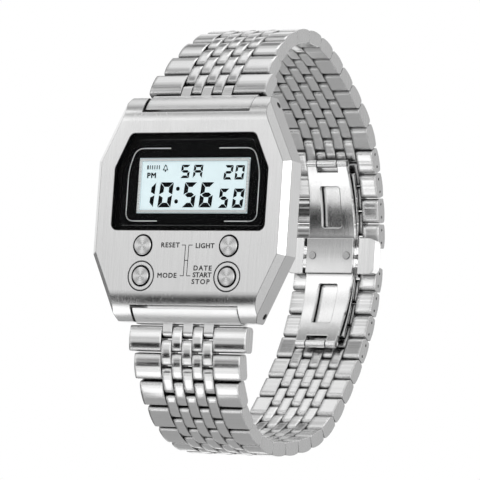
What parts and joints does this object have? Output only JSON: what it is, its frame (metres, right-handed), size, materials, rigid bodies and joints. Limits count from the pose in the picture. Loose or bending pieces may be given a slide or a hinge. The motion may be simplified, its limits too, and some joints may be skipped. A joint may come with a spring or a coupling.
{
  "type": "digital wristwatch",
  "caption": "Digital wristwatch with an octagonal steel case, four dial buttons, a linked steel bracelet and a folding butterfly clasp with side pushers.",
  "frame": {"origin": "centre of the wrist opening in the closed bracelet loop", "axes": "+X to the right of the dial, +Y from the dial through the wrist opening to the clasp, +Z from the centre of the dial towards twelve"},
  "size_m": [0.041, 0.0599, 0.0804],
  "materials": {
    "case_steel": "brushed stainless steel, polished bevels",
    "back_steel": "satin stainless steel",
    "link_steel": "satin stainless steel with bright edges",
    "clasp_steel": "polished stainless steel",
    "button_steel": "turned stainless steel",
    "ring_steel": "polished",
    "pin_steel": "plain",
    "spring_steel": "bright wire",
    "crystal_glass": "clear",
    "panel_black": "glossy black print",
    "display_glass": "pale reflective display",
    "frame_silver": "satin silver",
    "light_guide": "white",
    "rubber_black": "matte",
    "frame_plastic": "matte black",
    "board_green": "solder mask",
    "battery_steel": "bright",
    "brass_disc": "plain"
  },
  "bodies": {
    "case": {"case_body": "case_steel", "case_back": "back_steel", "case_back_screws": "pin_steel", "back_gasket": "rubber_black", "crystal": "crystal_glass", "crystal_gasket": "rubber_black", "display_panel": "panel_black", "lcd_frame": "frame_silver", "lcd_cell": "display_glass", "contact_strips": "rubber_black", "backlight_plate": "light_guide", "module_frame": "frame_plastic", "circuit_board": "board_green", "module_screws": "pin_steel", "battery": "battery_steel", "battery_strap": "spring_steel", "buzzer_disc": "brass_disc", "button_rings": "ring_steel", "button_gaskets": "rubber_black", "reset_spring": "spring_steel", "light_spring": "spring_steel", "mode_spring": "spring_steel", "start_spring": "spring_steel", "upper_spring_bar": "pin_steel"},
    "upper_end": {"upper_end_link": "link_steel"},
    "upper_rows_1": {"upper_links_1": "link_steel"},
    "upper_rows_2": {"upper_links_2": "link_steel"},
    "upper_rows_3": {"upper_links_3": "link_steel"},
    "upper_rows_4": {"upper_links_4": "link_steel"},
    "upper_rows_5": {"upper_links_5": "link_steel"},
    "upper_rows_6": {"upper_links_6": "link_steel"},
    "upper_rows_7": {"upper_links_7": "link_steel"},
    "upper_rows_8": {"upper_links_8": "link_steel"},
    "upper_arm": {"upper_arm": "clasp_steel"},
    "clasp_base": {"clasp_blade": "clasp_steel", "clasp_centre_plate": "clasp_steel", "clasp_rivets": "clasp_steel", "clasp_hinge_pins": "pin_steel", "latch_block": "clasp_steel", "left_pusher_spring": "spring_steel", "right_pusher_spring": "spring_steel"},
    "lower_arm": {"lower_arm": "clasp_steel"},
    "lower_rows_9": {"lower_links_9": "link_steel"},
    "lower_rows_8": {"lower_links_8": "link_steel"},
    "lower_rows_7": {"lower_links_7": "link_steel"},
    "lower_rows_6": {"lower_links_6": "link_steel"},
    "lower_rows_5": {"lower_links_5": "link_steel"},
    "lower_rows_4": {"lower_links_4": "link_steel"},
    "lower_rows_3": {"lower_links_3": "link_steel"},
    "lower_rows_2": {"lower_links_2": "link_steel"},
    "lower_rows_1": {"lower_links_1": "link_steel"},
    "lower_end": {"lower_end_link": "link_steel", "lower_spring_bar": "pin_steel"},
    "reset_button": {"reset_button": "button_steel"},
    "light_button": {"light_button": "button_steel"},
    "mode_button": {"mode_button": "button_steel"},
    "start_button": {"start_button": "button_steel"},
    "left_pusher": {"left_pusher": "button_steel"},
    "right_pusher": {"right_pusher": "button_steel"}
  },
  "joints": [
    {"name": "upper_end_hinge", "type": "hinge", "parent": "case", "child": "upper_end", "pos_m": [0, -0.0275, 0.0226], "axis": [1, 0, 0], "range_deg": [0, 8]},
    {"name": "upper_hinge_1", "type": "hinge", "parent": "upper_end", "child": "upper_rows_1", "pos_m": [0, -0.02624, 0.02543], "axis": [1, 0, 0], "range_deg": [0, 12]},
    {"name": "upper_hinge_2", "type": "hinge", "parent": "upper_rows_1", "child": "upper_rows_2", "pos_m": [0, -0.01995, 0.03316], "axis": [1, 0, 0], "range_deg": [0, 12]},
    {"name": "upper_hinge_3", "type": "hinge", "parent": "upper_rows_2", "child": "upper_rows_3", "pos_m": [0, -0.01141, 0.0382], "axis": [1, 0, 0], "range_deg": [0, 12]},
    {"name": "upper_hinge_4", "type": "hinge", "parent": "upper_rows_3", "child": "upper_rows_4", "pos_m": [0, -0.00152, 0.03822], "axis": [1, 0, 0], "range_deg": [0, 12]},
    {"name": "upper_hinge_5", "type": "hinge", "parent": "upper_rows_4", "child": "upper_rows_5", "pos_m": [0, 0.00751, 0.03399], "axis": [1, 0, 0], "range_deg": [0, 12]},
    {"name": "upper_hinge_6", "type": "hinge", "parent": "upper_rows_5", "child": "upper_rows_6", "pos_m": [0, 0.01574, 0.02832], "axis": [1, 0, 0], "range_deg": [0, 12]},
    {"name": "upper_hinge_7", "type": "hinge", "parent": "upper_rows_6", "child": "upper_rows_7", "pos_m": [0, 0.022, 0.02063], "axis": [1, 0, 0], "range_deg": [0, 12]},
    {"name": "upper_hinge_8", "type": "hinge", "parent": "upper_rows_7", "child": "upper_rows_8", "pos_m": [0, 0.02569, 0.01137], "axis": [1, 0, 0], "range_deg": [0, 12]},
    {"name": "clasp_fold", "type": "hinge", "parent": "upper_rows_8", "child": "upper_arm", "pos_m": [0, 0.02693, 0.00398], "axis": [1, 0, 0], "range_deg": [0, 150]},
    {"name": "upper_fold", "type": "hinge", "parent": "upper_arm", "child": "clasp_base", "pos_m": [0, 0.01984, 0.01854], "axis": [1, 0, 0], "range_deg": [-150, 0]},
    {"name": "lower_fold", "type": "hinge", "parent": "clasp_base", "child": "lower_arm", "pos_m": [0, 0.01984, -0.01658], "axis": [1, 0, 0], "range_deg": [-150, 0]},
    {"name": "lower_arm_hinge", "type": "hinge", "parent": "lower_arm", "child": "lower_rows_9", "pos_m": [0, 0.02693, -0.00202], "axis": [1, 0, 0], "range_deg": [0, 150]},
    {"name": "lower_hinge_9", "type": "hinge", "parent": "lower_rows_9", "child": "lower_rows_8", "pos_m": [0, 0.02569, -0.00941], "axis": [1, 0, 0], "range_deg": [0, 12]},
    {"name": "lower_hinge_8", "type": "hinge", "parent": "lower_rows_8", "child": "lower_rows_7", "pos_m": [0, 0.022, -0.01868], "axis": [1, 0, 0], "range_deg": [0, 12]},
    {"name": "lower_hinge_7", "type": "hinge", "parent": "lower_rows_7", "child": "lower_rows_6", "pos_m": [0, 0.01638, -0.02694], "axis": [1, 0, 0], "range_deg": [0, 12]},
    {"name": "lower_hinge_6", "type": "hinge", "parent": "lower_rows_6", "child": "lower_rows_5", "pos_m": [0, 0.00945, -0.0341], "axis": [1, 0, 0], "range_deg": [0, 12]},
    {"name": "lower_hinge_5", "type": "hinge", "parent": "lower_rows_5", "child": "lower_rows_4", "pos_m": [0, 0.00021, -0.03776], "axis": [1, 0, 0], "range_deg": [0, 12]},
    {"name": "lower_hinge_4", "type": "hinge", "parent": "lower_rows_4", "child": "lower_rows_3", "pos_m": [0, -0.00969, -0.03905], "axis": [1, 0, 0], "range_deg": [0, 12]},
    {"name": "lower_hinge_3", "type": "hinge", "parent": "lower_rows_3", "child": "lower_rows_2", "pos_m": [0, -0.01921, -0.03643], "axis": [1, 0, 0], "range_deg": [0, 12]},
    {"name": "lower_hinge_2", "type": "hinge", "parent": "lower_rows_2", "child": "lower_rows_1", "pos_m": [0, -0.02578, -0.02906], "axis": [1, 0, 0], "range_deg": [0, 12]},
    {"name": "lower_hinge_1", "type": "hinge", "parent": "lower_rows_1", "child": "lower_end", "pos_m": [0, -0.0275, -0.0193], "axis": [1, 0, 0], "range_deg": [0, 12]},
    {"name": "reset_press", "type": "slide", "parent": "case", "child": "reset_button", "axis": [0, 1, 0], "range_m": [0, 0.0005], "stiffness_N_per_m": 300, "springref_m": -0.0002, "deforming": ["reset_spring"]},
    {"name": "light_press", "type": "slide", "parent": "case", "child": "light_button", "axis": [0, 1, 0], "range_m": [0, 0.0005], "stiffness_N_per_m": 300, "springref_m": -0.0002, "deforming": ["light_spring"]},
    {"name": "mode_press", "type": "slide", "parent": "case", "child": "mode_button", "axis": [0, 1, 0], "range_m": [0, 0.0005], "stiffness_N_per_m": 300, "springref_m": -0.0002, "deforming": ["mode_spring"]},
    {"name": "start_press", "type": "slide", "parent": "case", "child": "start_button", "axis": [0, 1, 0], "range_m": [0, 0.0005], "stiffness_N_per_m": 300, "springref_m": -0.0002, "deforming": ["start_spring"]},
    {"name": "left_push", "type": "slide", "parent": "clasp_base", "child": "left_pusher", "axis": [1, 0, 0], "range_m": [0, 0.0005], "stiffness_N_per_m": 400, "springref_m": -0.0002, "deforming": ["left_pusher_spring"]},
    {"name": "right_push", "type": "slide", "parent": "clasp_base", "child": "right_pusher", "axis": [-1, 0, 0], "range_m": [0, 0.0005], "stiffness_N_per_m": 400, "springref_m": -0.0002, "deforming": ["right_pusher_spring"]}
  ],
  "couplings": [
    {"joint": "upper_fold", "follows": "clasp_fold", "ratio": -1},
    {"joint": "lower_fold", "follows": "clasp_fold", "ratio": -1},
    {"joint": "lower_arm_hinge", "follows": "clasp_fold", "ratio": 1}
  ]
}
